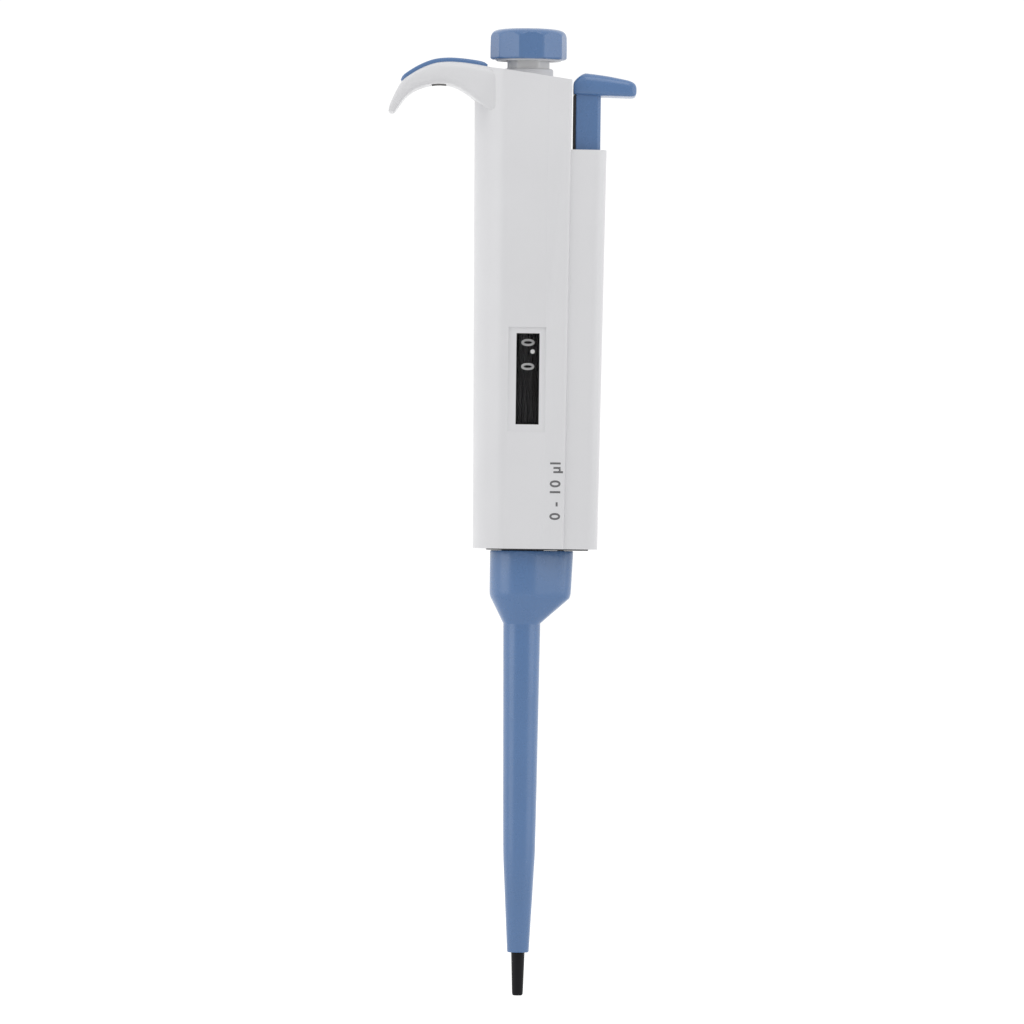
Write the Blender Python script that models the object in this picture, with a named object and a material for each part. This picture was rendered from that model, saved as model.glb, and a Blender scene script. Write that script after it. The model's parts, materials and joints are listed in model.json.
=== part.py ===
"""Adjustable air-displacement micropipette, 0 to 10 microlitres, each separate piece its own closed solid.

Lengths are written in millimetres and angles in degrees; new_object() turns millimetres into metres.
Z runs up the plunger's axis from the nozzle's end face. The finger hook points along -X, the tip ejector lies
on the +X side and the volume window faces -Y. The plunger stands where a setting of 0.0 microlitres puts it.
"""

import math

import bmesh
import bpy
from mathutils import Vector

MM = 0.001
GAP = 0.3          # between pieces that rest on each other
FIT = 0.1          # radial, between a shaft and the piece that turns or slides on it

# Driving dimensions
TOTAL_HEIGHT = 239.6
HANDLE_BOTTOM, HANDLE_TOP = 110.7, 228.2   # the top is measured on the axis
TOP_SLOPE = 0.156               # the handle's top falls this much for each mm towards +X
WALL = 1.3
TAPER = 0.07                    # how much narrower the handle is at its foot than at its top
COLUMN_SIDE, COLUMN_BACK = 12.0, 10.9
SHOULDER_X, SHOULDER_RADIUS = -4.8, 4.0
NOSE_X, NOSE_RADIUS = 0.06, 13.36
NOSE_START = 121.3              # where the shoulder runs into the nose, in degrees from +X
COVER_TOP, COVER_BACK, COVER_WALL = 209.4, 19.8, 1.0

# Window in the handle's front
WINDOW_X, WINDOW_HALF, WINDOW_Z = 0.7, 2.85, (141.4, 163.9)
RECESS_X, RECESS_HALF, RECESS_Y, RECESS_Z = 0.5, 4.65, -11.1, (139.7, 165.4)

# Counter: four bands up the window, named by what they show
BAND = 5.9
TENTHS_Z = 161.6
ONES_Z, TENS_Z, SPACER_Z = TENTHS_Z - BAND, TENTHS_Z - 2 * BAND, TENTHS_Z - 3 * BAND
DRUM_RADIUS, DRUM_HEIGHT, HUB_RADIUS = 8.2, 4.6, 5.25
SLEEVE_RADIUS = 4.2
WHEEL_BORE = SLEEVE_RADIUS + FIT
WHEEL_TEETH, PINION_TEETH, GEAR_MODULE, GEAR_HEIGHT = 24, 6, 0.6, 0.8
PINION_ANGLE = 135.0
PINION_DISTANCE = GEAR_MODULE * (WHEEL_TEETH + PINION_TEETH) / 2
PINION_BORE, PINION_SHAFT_RADIUS = 0.72, 0.6
FRAME_PLATE = 2.2
WASHER_LOW = TENTHS_Z + BAND / 2 + GAP + FRAME_PLATE + 0.25
WASHER_TOP = WASHER_LOW + 0.9

# Plunger
STEM_CORNER, DRIVE_CORNER, HEX_CLEARANCE = 5.25, 3.2, 0.2
STEM_FOOT, STEM_FLANGE = 148.0, 3.3
ROD_RADIUS = 1.5
SPINDLE_BOTTOM, SPINDLE_TOP, SPINDLE_RADIUS = 181.0, 209.0, 6.7
NUT_RADIUS = 7.9
KNOB_BOTTOM, KNOB_RADIUS, KNOB_SIDES, KNOB_TURN = 231.8, 9.55, 10, 4.9
INSERT_RADIUS = 8.1
BUSH_RADIUS = 6.2
PISTON_RADIUS, DUCT_RADIUS = 0.5, 0.62

# Foot of the handle
PLATE_BOTTOM, PLATE_TOP, SPIGOT_TOP = 110.4, 111.8, 115.5
TUBE_RADIUS, TUBE_BORE, TUBE_FLOOR, TUBE_TOP = 6.0, 5.0, 114.0, 126.5
STUD_BOTTOM, STUD_RADIUS, STUD_BORE = 102.5, 5.2, 3.4

# Liquid end
SLEEVE_BOTTOM, SLEEVE_KINK, FUNNEL_BOTTOM, COLLAR_BOTTOM, COLLAR_TOP = 10.7, 34.8, 91.9, 98.9, 110.1
COLLAR_RADIUS, COLLAR_TAIL, COLLAR_TAIL_X = 8.07, 4.7, 7.85
COLLAR_LEAN = 0.55              # how far the collar's back draws in from its top to its foot
SLEEVE_WALL = 0.9
NOZZLE_FLANGE = (100.1, 102.2)
SEAL_SEAT = 60.0
SPRING_SEAT, HEAD_BOTTOM = 66.3, 84.8

# Tip ejector
STEM_FRONT, STEM_BACK, STEM_HALF = 11.95, 18.0, 6.5
STEM_END = 190.0
LINK_HALF, LINK_THICKNESS = 2.0, 1.6
LINK_LOW_X, LINK_HIGH_X = 8.6, 11.8
EJECT_SPRING_X, EJECT_SPRING_BOTTOM = 15.8, 160.0

WHITE = ("white_plastic", (0.80, 0.80, 0.81), 0.35, 0.0)
BLUE = ("blue_plastic", (0.13, 0.23, 0.43), 0.35, 0.0)
BLACK = ("black_plastic", (0.02, 0.02, 0.022), 0.45, 0.0)
GREY = ("grey_plastic", (0.52, 0.52, 0.52), 0.40, 0.0)
STEEL = ("steel", (0.60, 0.60, 0.62), 0.25, 1.0)
BRASS = ("brass", (0.62, 0.45, 0.20), 0.30, 1.0)
RUBBER = ("rubber", (0.03, 0.03, 0.03), 0.80, 0.0)
SEAL = ("seal_plastic", (0.85, 0.85, 0.82), 0.50, 0.0)
CLEAR = ("clear_plastic", (0.75, 0.78, 0.80), 0.08, 0.0)


def material(kind):
    """The Principled material of that kind, made once."""
    name, colour, roughness, metallic = kind
    found = bpy.data.materials.get(name)
    if found:
        return found
    made = bpy.data.materials.new(name)
    made.use_nodes = True
    shader = made.node_tree.nodes["Principled BSDF"]
    shader.inputs["Base Color"].default_value = (*colour, 1.0)
    shader.inputs["Roughness"].default_value = roughness
    shader.inputs["Metallic"].default_value = metallic
    made.diffuse_color = (*colour, 1.0)
    return made


def empty(name, parent=None, location=(0.0, 0.0, 0.0)):
    made = bpy.data.objects.new(name, None)
    made.location = Vector(location) * MM
    made.parent = parent
    bpy.context.scene.collection.objects.link(made)
    return made


def new_object(name, points, faces, kind, parent, bevel=0.0):
    """A mesh object from points in mm, with outward normals, smooth round faces and sharp edges."""
    mesh = bpy.data.meshes.new(name)
    mesh.from_pydata([Vector(p) * MM for p in points], [], faces)
    shape = bmesh.new()
    shape.from_mesh(mesh)
    bmesh.ops.recalc_face_normals(shape, faces=shape.faces)
    shape.to_mesh(mesh)
    shape.free()
    mesh.shade_smooth()
    mesh.set_sharp_from_angle(angle=math.radians(35))
    if kind:
        mesh.materials.append(material(kind))
    made = bpy.data.objects.new(name, mesh)
    made.parent = parent
    bpy.context.scene.collection.objects.link(made)
    if bevel:
        rounding = made.modifiers.new("edges", "BEVEL")
        rounding.width = bevel * MM
        rounding.segments = 1
        rounding.limit_method = "ANGLE"
        rounding.angle_limit = math.radians(40)
    return made


def combine(target, other, operation):
    """Cuts other from target, or joins it on. The helper stays in the file, hidden from renders."""
    other.hide_render = True
    other.display_type = "WIRE"
    change = target.modifiers.new(other.name, "BOOLEAN")
    change.operation = operation
    change.object = other
    change.solver = "EXACT"
    return target


def cut(target, *others):
    for other in others:
        combine(target, other, "DIFFERENCE")
    return target


def join(target, *others):
    for other in others:
        combine(target, other, "UNION")
    return target


def arc(centre, radius, start, end, count):
    """count points along an arc in a plane, both ends included; angles in degrees."""
    turn = [math.radians(start + (end - start) * i / (count - 1)) for i in range(count)]
    return [(centre[0] + radius * math.cos(a), centre[1] + radius * math.sin(a)) for a in turn]


def circle(radius, count, phase=0.0, centre=(0.0, 0.0)):
    return arc(centre, radius, phase, phase + 360.0 * (count - 1) / count, count)


def turned(name, profile, kind, parent, steps=32, bevel=0.0):
    """A solid of revolution about Z, from a closed loop of (radius, z). Two of its points may lie on Z."""
    points, rows = [], []
    for radius, z in profile:
        if radius == 0:
            rows.append([len(points)] * steps)
            points.append((0.0, 0.0, z))
            continue
        rows.append(range(len(points), len(points) + steps))
        points += [(x, y, z) for x, y in circle(radius, steps)]
    faces = []
    for low, high in zip(rows, rows[1:] + rows[:1]):
        if low[0] == low[1] and high[0] == high[1]:
            continue
        for i in range(steps):
            j = (i + 1) % steps
            corners = dict.fromkeys((low[i], low[j], high[j], high[i]))
            faces.append(tuple(corners))
    return new_object(name, points, faces, kind, parent, bevel)


def lofted(name, loops, kind, parent, bevel=0.0, closed=False):
    """A skin through loops of equal length, with capped ends, or with the last loop joined to the first."""
    count = len(loops[0])
    points = [p for loop in loops for p in loop]
    faces = []
    for k in range(len(loops) if closed else len(loops) - 1):
        low, high = k * count, (k + 1) % len(loops) * count
        faces += [(low + i, low + (i + 1) % count, high + (i + 1) % count, high + i) for i in range(count)]
    if not closed:
        faces += [tuple(range(count)), tuple(range(len(points) - count, len(points)))]
    return new_object(name, points, faces, kind, parent, bevel)


def prism(name, outline, bottom, top, kind, parent, bevel=0.0):
    return lofted(name, [[(x, y, z) for x, y in outline] for z in (bottom, top)], kind, parent, bevel)


def pipe(name, outer, inner, bottom, top, kind, parent):
    """A tube between two outlines of equal length."""
    loops = [[(x, y, z) for x, y in outline] for outline, z in
             ((outer, bottom), (outer, top), (inner, top), (inner, bottom))]
    return lofted(name, loops, kind, parent, closed=True)


def coil(name, radius, wire, bottom, top, turns, kind, parent, steps=14, sides=6, centre=(0.0, 0.0)):
    """A round-wire compression spring with closed ends: the first and last turns lie nearly flat."""
    pitch_turns = turns - 2
    total = turns * steps
    points, faces = [], []
    for k in range(total + 1):
        turn = k / steps
        share = min(max(turn - 1, 0), pitch_turns) / pitch_turns
        rise = 2.2 * wire * (min(turn, 1) + max(turn - turns + 1, 0))
        z = bottom + wire + rise + (top - bottom - 2 * wire - 4.4 * wire) * share
        a = 2 * math.pi * turn
        for s in range(sides):
            b = 2 * math.pi * s / sides
            r = radius + wire * math.cos(b)
            points.append((centre[0] + r * math.cos(a), centre[1] + r * math.sin(a), z + wire * math.sin(b)))
    for k in range(total):
        for s in range(sides):
            t = (s + 1) % sides
            faces.append((k * sides + s, k * sides + t, (k + 1) * sides + t, (k + 1) * sides + s))
    faces += [tuple(range(sides)), tuple(range(total * sides, total * sides + sides))]
    return new_object(name, points, faces, kind, parent)


def gear_outline(teeth, module, phase):
    """A simple straight-flanked gear, a little thin so that a pair runs free."""
    pitch = module * teeth / 2
    tip, root = pitch + 0.85 * module, pitch - 1.15 * module
    step = 360.0 / teeth
    outline = []
    for k in range(teeth):
        at = phase + k * step
        for radius, share in ((root, -0.30), (tip, -0.12), (tip, 0.12), (root, 0.30)):
            a = math.radians(at + share * step)
            outline.append((radius * math.cos(a), radius * math.sin(a)))
    return outline


# Outlines

def handle_scale(z):
    """How much narrower the handle is at height z than at its top."""
    return 1 - TAPER * (HANDLE_TOP - z) / (HANDLE_TOP - HANDLE_BOTTOM)


def mirrored(half):
    """A closed outline from its y > 0 half, which runs from +X to -X and may end on y = 0."""
    return half + [(x, -y) for x, y in reversed(half) if y > 1e-6]


def column_outline(inset=0.0):
    """The handle's main column at its top: a round nose, sides with a flat strip and a flat back."""
    side, back = COLUMN_SIDE - inset, COLUMN_BACK - inset
    middle = (SHOULDER_X, COLUMN_SIDE - SHOULDER_RADIUS)
    shoulder = arc(middle, SHOULDER_RADIUS - inset, 90, NOSE_START, 4)
    nose = arc((NOSE_X, 0.0), NOSE_RADIUS - inset, NOSE_START, 180, 9)
    return mirrored([(back, side - 0.9), (5.2, side), *shoulder, *nose[1:]])


def scaled(outline, z, top=None):
    """The outline at height z, or with each point on the sloping top if top is given."""
    k = handle_scale(z)
    return [(x * k, y * k, z if top is None else top - TOP_SLOPE * x * k) for x, y in outline]


def fitted(inset, z):
    """The column's outline at height z as plane points, inset by that much."""
    return [(x, y) for x, y, _ in scaled(column_outline(inset), z)]


def rectangle(low_x, high_x, low_y, high_y):
    return [(low_x, low_y), (high_x, low_y), (high_x, high_y), (low_x, high_y)]


def side_prism(name, outline, half_width, kind, parent, bevel=0.0):
    """A prism across the handle from an outline in x and z."""
    loops = [[(x, y, z) for x, z in outline] for y in (-half_width, half_width)]
    return lofted(name, loops, kind, parent, bevel)


def polar(radius, angle):
    return radius * math.cos(math.radians(angle)), radius * math.sin(math.radians(angle))


def hex_ring(corner, count=24):
    """A hexagon with extra points along its sides, so that it can be joined to a circle of count points."""
    points = []
    for k in range(count):
        angle = 360.0 * k / count
        off_flat = math.radians(angle % 60.0 - 30.0)
        points.append(polar(corner * math.cos(math.radians(30)) / math.cos(off_flat), angle))
    return points


def stacked(levels):
    """Loops from pairs of an outline and its height."""
    return [[(x, y, z) for x, y in outline] for outline, z in levels]


# Handle

def make_handle_body(frame):
    """The white column: a tapered hollow moulding, open at the foot and round the plunger, with a window."""
    heights = [(HANDLE_BOTTOM, None), (COVER_TOP, None), (HANDLE_TOP, HANDLE_TOP)]
    body = lofted("handle_body", [scaled(column_outline(), z, top) for z, top in heights], WHITE, frame)
    cavity = [scaled(column_outline(WALL), z) for z in (HANDLE_BOTTOM - 1, COVER_TOP, HANDLE_TOP - 4)]
    inside = lofted("handle_cavity", cavity, None, frame)
    plate_seat = prism("plate_seat", plate_outline(GAP), HANDLE_BOTTOM - 1, PLATE_TOP + GAP, None, frame)
    bush_seat = turned("bush_seat", [(0, 220), (BUSH_RADIUS + FIT, 220), (BUSH_RADIUS + FIT, 235), (0, 235)],
                       None, frame)
    window = prism("window_cut", rectangle(WINDOW_X - WINDOW_HALF, WINDOW_X + WINDOW_HALF, -14, -8),
                   *WINDOW_Z, None, frame)
    recess = prism("window_recess", rectangle(RECESS_X - RECESS_HALF, RECESS_X + RECESS_HALF, -14, RECESS_Y),
                   *RECESS_Z, None, frame)
    notch = prism("link_notch", rectangle(7, 13, -LINK_HALF - GAP, LINK_HALF + GAP), HANDLE_BOTTOM - 1, 131,
                  None, frame)
    return cut(body, inside, plate_seat, bush_seat, window, recess, notch)


def make_window_lens(frame):
    """The clear pane over the counter: a flange inside the wall and a pane that fills the opening."""
    half = WINDOW_HALF - FIT
    pane = prism("window_lens", rectangle(WINDOW_X - half, WINDOW_X + half, -10.9, -9.35),
                 WINDOW_Z[0] + FIT, WINDOW_Z[1] - FIT, CLEAR, frame)
    flange = prism("lens_flange", rectangle(WINDOW_X - half - 1.1, WINDOW_X + half + 1.1, -9.7, -9.1),
                   WINDOW_Z[0] - 1.0, WINDOW_Z[1] + 0.9, None, frame)
    return join(pane, flange)


# The finger hook: the points of its underside and of its top, in x and z, from the handle to its end
HOOK_UNDER = [(-9.0, 218.7), (-12.6, 221.2), (-14.6, 222.8), (-16.8, 224.2), (-19.0, 225.1), (-21.3, 225.3),
              (-23.6, 225.2), (-26.2, 224.7), (-28.6, 223.6), (-30.5, 221.9), (-32.0, 219.7), (-33.0, 218.4)]
HOOK_TOP = [(-7.0, 229.3), (-10.2, 229.8), (-13.4, 230.4), (-16.6, 230.75), (-19.8, 230.9), (-23.0, 230.5),
            (-26.0, 229.4), (-28.8, 227.8), (-31.2, 226.0), (-32.8, 223.3), (-34.2, 220.4), (-34.6, 218.9)]
HOOK_HALF = [10.6, 10.3, 9.7, 9.2, 8.7, 8.3, 8.0, 7.7, 7.3, 6.7, 5.8, 4.6]


def hook_section(under, top, half):
    """A rectangle with cut corners across the hook, from its underside point to its top point."""
    low, high = Vector((under[0], 0, under[1])), Vector((top[0], 0, top[1]))
    up = (high - low).normalized() * min(1.2, 0.3 * (high - low).length)
    wide, narrow = Vector((0, half, 0)), Vector((0, half - 1.2, 0))
    return [tuple(p) for p in (low + narrow, low + up + wide, high - up + wide, high + narrow,
                               high - narrow, high - up - wide, low + up - wide, low - narrow)]


def make_finger_hook(frame):
    """The white hook that rests on the index finger, fitted to the column's nose and top edge."""
    sections = [hook_section(*at) for at in zip(HOOK_UNDER, HOOK_TOP, HOOK_HALF)]
    hook = lofted("finger_hook", sections, WHITE, frame)
    clearance = lofted("hook_seat", [scaled(column_outline(-GAP), z) for z in (200, 240)], None, frame)
    slot = side_prism("hook_slot", [(-23.9, 224.0), (-20.3, 224.0), (-20.3, 225.9), (-23.9, 225.9)], 6.0,
                      None, frame)
    return cut(hook, clearance, slot)


def make_hook_pad(frame):
    """The blue inlay along the top of the hook."""
    lift, thickness, margin = 0.15, 0.8, 0.5
    spans = list(zip(HOOK_TOP, HOOK_HALF))[2:9]
    loops = []
    for k, ((x, z), half) in enumerate(spans):
        behind, ahead = spans[max(k - 1, 0)][0], spans[min(k + 1, len(spans) - 1)][0]
        outward = Vector((ahead[1] - behind[1], 0, behind[0] - ahead[0])).normalized()
        base = Vector((x, 0, z)) + outward * (lift + 0.12)
        rise = outward * thickness
        wide, narrow = Vector((0, half - 1.2 - margin, 0)), Vector((0, half - 1.9 - margin, 0))
        loops.append([tuple(p) for p in (base + wide, base + rise * 0.6 + wide, base + rise + narrow,
                                         base + rise - narrow, base + rise * 0.6 - wide, base - wide)])
    return lofted("hook_pad", loops, BLUE, frame)


def cover_outline(inset=0.0):
    """The ejector channel's outer line at its top, y > 0 half, from the column round to the back."""
    corner = arc((COVER_BACK - 3.2, 6.9), 3.2 - inset, 80, 10, 4)
    return [(COLUMN_BACK + GAP, 10.6 - inset), (15.0, 10.3 - inset), *corner]


def make_rear_cover(frame):
    """The white channel behind the column, which the ejector runs in, with a lip round its stem."""
    outer, inner = cover_outline(), cover_outline(COVER_WALL)
    outline = outer + [(x, -y) for x, y in reversed(outer)] + [(x, -y) for x, y in inner] + inner[::-1]
    cover = lofted("rear_cover", [scaled(outline, z) for z in (HANDLE_BOTTOM, COVER_TOP)], WHITE, frame)
    lip_line = mirrored(cover_outline(0.4))
    shrink = 0.99
    lip = prism("cover_lip", [(x * shrink, y * shrink) for x, y in lip_line[::-1]],
                COVER_TOP - 1.4, COVER_TOP - 0.2, None, frame)
    opening = prism("lip_opening", rectangle(10, STEM_BACK + GAP, -STEM_HALF - GAP, STEM_HALF + GAP),
                    COVER_TOP - 4, COVER_TOP + 1, None, frame)
    clearance = prism("lip_clearance", rectangle(8, COLUMN_BACK + GAP, -14, 14),
                      COVER_TOP - 4, COVER_TOP + 1, None, frame)
    return cut(join(cover, lip), opening, clearance)


def plate_outline(grow=0.0):
    """The black plate that closes the foot of the ejector channel and shows under the column."""
    nose = arc((0.5, 0.0), 9.6 + grow, 110, 180, 6)
    return mirrored([(16.2 + grow, 5.0), (14.7, 7.4 + grow), *nose])


def make_base_plug(frame):
    """The black foot of the handle: a plate, a spigot in the column, a spring's tube and a threaded stud."""
    plug = prism("base_plug", plate_outline(), PLATE_BOTTOM, PLATE_TOP, BLACK, frame)
    spigot = prism("plug_spigot", fitted(WALL + GAP, SPIGOT_TOP), PLATE_TOP - 0.5, SPIGOT_TOP, None, frame)
    barrel = turned("plug_barrel", [(0, STUD_BOTTOM), (STUD_RADIUS, STUD_BOTTOM), (STUD_RADIUS, 113),
                                    (TUBE_RADIUS, 113), (TUBE_RADIUS, TUBE_TOP), (0, TUBE_TOP)], None, frame)
    bore = turned("plug_bore", [(0, 90), (STUD_BORE, 90), (STUD_BORE, TUBE_FLOOR), (TUBE_BORE, TUBE_FLOOR),
                                (TUBE_BORE, 130), (0, 130)], None, frame)
    slot = prism("link_slot", rectangle(LINK_LOW_X - GAP, LINK_LOW_X + LINK_THICKNESS + GAP,
                                        -LINK_HALF - GAP, LINK_HALF + GAP), 105, 118, None, frame)
    return cut(join(plug, spigot, barrel), bore, slot)


def make_top_bush(frame):
    inner = STEM_CORNER + FIT
    return turned("top_bush", [(inner, 223.3), (BUSH_RADIUS, 223.3), (BUSH_RADIUS, 229.2),
                               (BUSH_RADIUS - 0.3, 229.5), (inner, 229.5)], WHITE, frame)


def make_nut_and_carrier(frame):
    """The brass volume nut, and the plastic block that holds it in the column."""
    carrier = prism("nut_carrier", fitted(WALL + GAP, 195.0), 196.0, 208.0, BLACK, frame)
    free, seat, ledge = SPINDLE_RADIUS + 2 * FIT, NUT_RADIUS + FIT, 197.5
    bore = turned("carrier_bore", [(0, 190), (free, 190), (free, ledge), (seat, ledge), (seat, 215),
                                   (0, 215)], None, frame)
    inner, low, high = SPINDLE_RADIUS + FIT, ledge + GAP, 206.5
    turned("spindle_nut", [(inner, low), (NUT_RADIUS, low), (NUT_RADIUS, high), (inner, high)], BRASS, frame)
    return cut(carrier, bore)


def make_counter_frame(frame):
    """Two plates joined by posts, above and below the number wheels and open towards the window."""
    low, high = SPACER_Z - BAND / 2 - GAP, TENTHS_Z + BAND / 2 + GAP
    plate = fitted(WALL + GAP, low - FRAME_PLATE)
    lower = prism("counter_frame", plate, low - FRAME_PLATE, low, BLACK, frame)
    upper = prism("frame_top", plate, high, high + FRAME_PLATE, None, frame)
    posts = [prism("frame_post_" + str(k), circle(0.9, 8, centre=at), low - 0.5, high + 0.5, None, frame)
             for k, at in enumerate(((7.2, 7.6), (-9.6, -2.0), (7.2, -7.6)))]
    bore = turned("frame_bore", [(0, 130), (WHEEL_BORE, 130), (WHEEL_BORE, 190), (0, 190)], None, frame)
    pin_hole = prism("frame_pin_hole", circle(PINION_BORE, 16, centre=polar(PINION_DISTANCE, PINION_ANGLE)),
                     130, 190, None, frame)
    reach = WINDOW_HALF + 1.5
    lens_space = prism("lens_space", rectangle(WINDOW_X - reach, WINDOW_X + reach, -14, -8.8), 130, 190,
                       None, frame)
    return cut(join(lower, upper, *posts), bore, pin_hole, lens_space)


def make_drum(name, z, kind, frame, geared):
    """A number drum on a hub, with a gear ring on top where a pinion drives it."""
    half, reach = DRUM_HEIGHT / 2, (BAND - FIT) / 2
    wheel = turned(name, [(WHEEL_BORE, z - reach), (HUB_RADIUS, z - reach), (HUB_RADIUS, z - half),
                          (DRUM_RADIUS, z - half), (DRUM_RADIUS, z + half), (HUB_RADIUS, z + half),
                          (HUB_RADIUS, z + reach), (WHEEL_BORE, z + reach)], kind, frame, 40)
    if geared:
        phase = PINION_ANGLE + 180.0 / WHEEL_TEETH
        ring = pipe(name + "_teeth", gear_outline(WHEEL_TEETH, GEAR_MODULE, phase),
                    gear_bore(HUB_RADIUS + 0.35, WHEEL_TEETH, phase), z + half - 0.3, z + half + GEAR_HEIGHT,
                    None, frame)
        join(wheel, ring)
    return wheel


def gear_bore(radius, teeth, phase):
    """The bore's points, matched to those of gear_outline."""
    step = 360.0 / teeth
    shares = (-0.30, -0.12, 0.12, 0.30)
    return [polar(radius, phase + (k + share) * step) for k in range(teeth) for share in shares]


def make_counter(frame, pinion_frame):
    """The tenths wheel turns with the drive sleeve; each pinion carries to the wheel below it."""
    make_drum("tenths_wheel", TENTHS_Z, BLACK, frame, False)
    make_drum("ones_wheel", ONES_Z, BLACK, frame, True)
    make_drum("tens_wheel", TENS_Z, BLACK, frame, True)
    make_drum("counter_spacer", SPACER_Z, BLACK, frame, False)
    height = GEAR_HEIGHT
    phase = PINION_ANGLE + 180.0
    for name, drum_z in (("ones_pinion", ONES_Z), ("tens_pinion", TENS_Z)):
        middle = drum_z + BAND / 2
        outline = gear_outline(PINION_TEETH, GEAR_MODULE, phase)
        bore = gear_bore(PINION_BORE, PINION_TEETH, phase)
        pipe(name, outline, bore, middle - height / 2, middle + height / 2, SEAL, pinion_frame)
    reach = BAND / 2 + GAP + FRAME_PLATE
    prism("pinion_shaft", circle(PINION_SHAFT_RADIUS, 16), SPACER_Z - reach, TENTHS_Z + reach, STEEL,
          pinion_frame)


def make_drive_sleeve(frame):
    """The tube that the knob turns: it carries the tenths wheel and a notched flange that clicks."""
    count = 24
    outer, inner = circle(SLEEVE_RADIUS, count), hex_ring(DRIVE_CORNER + HEX_CLEARANCE, count)
    notched = [polar(7.6 if k % 2 else 8.0, 360.0 * k / count) for k in range(count)]
    low, flange = SPACER_Z - BAND / 2 - FRAME_PLATE - 3 * GAP, WASHER_TOP + GAP
    top = flange + 2.9
    levels = [(outer, low), (outer, flange), (notched, flange), (notched, top), (inner, top), (inner, low)]
    return lofted("drive_sleeve", stacked(levels), GREY, frame, closed=True)


def make_friction_washer(frame):
    """The flat spring washer between the counter frame and the drive sleeve's flange."""
    low, top = WASHER_LOW, WASHER_TOP
    return turned("friction_washer", [(4.8, low), (7.8, low), (7.8, top), (4.8, top)], STEEL, frame, 24)


# Plunger

def make_volume_spindle(frame):
    """The threaded tube that sets how high the plunger rises; the thread is drawn as plain grooves."""
    count, grooves, pitch = 24, 6, 4.2
    root, crest = SPINDLE_RADIUS - 0.35, SPINDLE_RADIUS
    thread = [(root, SPINDLE_BOTTOM)]
    for k in range(grooves):
        z = SPINDLE_BOTTOM + 1.5 + k * pitch
        thread += [(crest, z), (crest, z + pitch * 0.6), (root, z + pitch * 0.8)]
    thread.append((root, SPINDLE_TOP))
    inner = hex_ring(STEM_CORNER + HEX_CLEARANCE, count)
    levels = [(circle(radius, count), z) for radius, z in thread]
    levels += [(inner, SPINDLE_TOP), (inner, SPINDLE_BOTTOM)]
    return lofted("volume_spindle", stacked(levels), BRASS, frame, closed=True)


def make_knob_stem(frame):
    """The six-sided stem between knob and counter, with the flange that the spindle's foot holds down."""
    count = 24
    flange_top = SPINDLE_BOTTOM - GAP
    drive, stem, flange = hex_ring(DRIVE_CORNER, count), hex_ring(STEM_CORNER, count), circle(6.4, count)
    bore = circle(ROD_RADIUS + FIT, count)
    top = KNOB_BOTTOM + 2.2
    levels = [(drive, STEM_FOOT), (drive, flange_top - STEM_FLANGE), (flange, flange_top - STEM_FLANGE),
              (flange, flange_top), (stem, flange_top), (stem, top), (bore, top), (bore, STEM_FOOT)]
    return lofted("knob_stem", stacked(levels), GREY, frame, closed=True)


def knob_loop(radius, z, apothem):
    """A ring of the knob: round, but no further out than the flats of its ten sides."""
    step = 360.0 / KNOB_SIDES
    first = KNOB_TURN - 90.0 - step / 2
    loop = []
    for k in range(KNOB_SIDES * 4):
        angle = first + k * step / 4
        flat = apothem / math.cos(math.radians((angle - first) % step - step / 2))
        loop.append((*polar(min(radius, flat), angle), z))
    return loop


def make_plunger_knob(frame):
    """The blue cap: ten flat sides, a domed top with a rounded rim, and a hollow underside."""
    apothem = KNOB_RADIUS * math.cos(math.pi / KNOB_SIDES)
    hollow = INSERT_RADIUS + 0.2
    low, top = KNOB_BOTTOM, TOTAL_HEIGHT
    inside = [(4.5, low + 4.7), (7.4, low + 4.7), (hollow, low + 3.9), (hollow, low)]
    outside = [(8.9, low), (KNOB_RADIUS, low + 0.5), (KNOB_RADIUS, low + 3.8), (9.35, low + 5.4),
               (8.9, low + 6.5), (8.0, low + 7.25), (6.6, top - 0.2), (4.5, top)]
    loops = [knob_loop(radius, z, hollow + 1) for radius, z in inside]
    loops += [knob_loop(radius, z, apothem - 0.015 * (z - low)) for radius, z in outside]
    return lofted("plunger_knob", loops, BLUE, frame)


def make_knob_insert(frame):
    """The white disc under the cap, which grips the stem and the rod."""
    low, grip, rod = KNOB_BOTTOM - 0.4, STEM_CORNER + FIT, ROD_RADIUS + FIT
    ledge, top = KNOB_BOTTOM + 2.5, KNOB_BOTTOM + 4.3
    profile = [(grip, low + 1.1), (6.6, low + 0.5), (7.0, low), (INSERT_RADIUS - 0.1, low),
               (INSERT_RADIUS, low + 0.3), (INSERT_RADIUS, top - 1.0), (7.2, top), (rod, top), (rod, ledge),
               (grip, ledge)]
    return turned("knob_insert", profile, WHITE, frame)


def make_plunger_rod(frame):
    """The steel rod from the knob to the piston, the collar that meets the blow-out stop, and the piston."""
    low, high = 89.1, 235.8
    turned("operating_rod", [(0, low), (ROD_RADIUS, low), (ROD_RADIUS, high), (0, high)], STEEL, frame, 16)
    rod = ROD_RADIUS + FIT
    turned("rod_collar", [(rod, 125.8), (2.6, 125.8), (2.6, 129.8), (rod, 129.8)], STEEL, frame, 24)
    turned("piston_head", [(0, HEAD_BOTTOM), (1.9, HEAD_BOTTOM), (1.9, 88.8), (0, 88.8)], STEEL, frame, 20)
    low, high = 14.0, HEAD_BOTTOM - GAP
    turned("piston", [(0, low), (PISTON_RADIUS, low), (PISTON_RADIUS, high), (0, high)], STEEL, frame, 16)


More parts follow.
